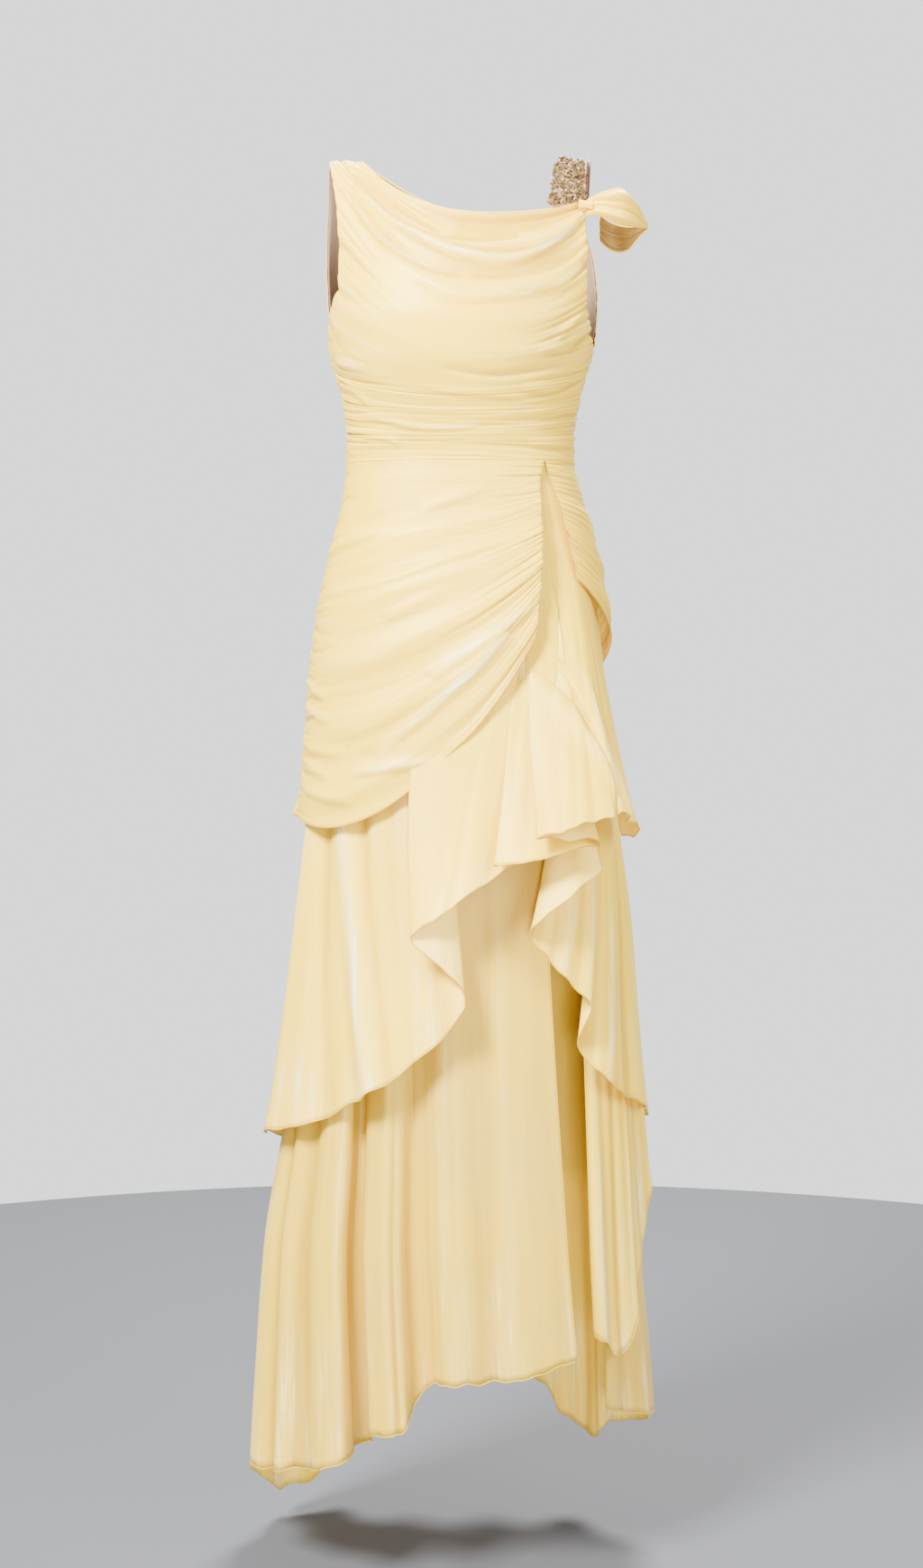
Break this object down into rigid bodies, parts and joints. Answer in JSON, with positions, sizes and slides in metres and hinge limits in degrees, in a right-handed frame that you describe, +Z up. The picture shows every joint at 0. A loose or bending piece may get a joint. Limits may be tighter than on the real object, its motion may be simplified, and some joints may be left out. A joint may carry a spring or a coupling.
{
  "type": "maxi dress",
  "caption": "One-shoulder cowl-neck maxi dress with a beaded strap, ruched bodice and hip wrap, and tiers of draped satin chiffon with waterfall edges.",
  "frame": {"origin": "on the shoulder line, midway between the wearer's shoulders", "axes": "+Z up along the wearer, +X to the viewer's right seen from the front, the front faces -Y"},
  "size_m": [0.4392, 0.3749, 1.4667],
  "materials": {
    "chiffon": "satin",
    "lining": "matte",
    "beading": "satin"
  },
  "bodies": {
    "root": {"bodice_front": "chiffon", "bodice_back": "chiffon", "back_lining": "lining", "shoulder_strap": "beading", "sleeve_drape": "chiffon", "hip_drape_front": "chiffon", "hip_drape_back": "chiffon", "cascade": "chiffon", "overskirt_left": "chiffon", "overskirt_back": "chiffon", "overskirt_right": "chiffon", "side_fall": "chiffon", "underskirt_front": "chiffon", "underskirt_left": "chiffon", "underskirt_back": "chiffon"}
  },
  "joints": []
}
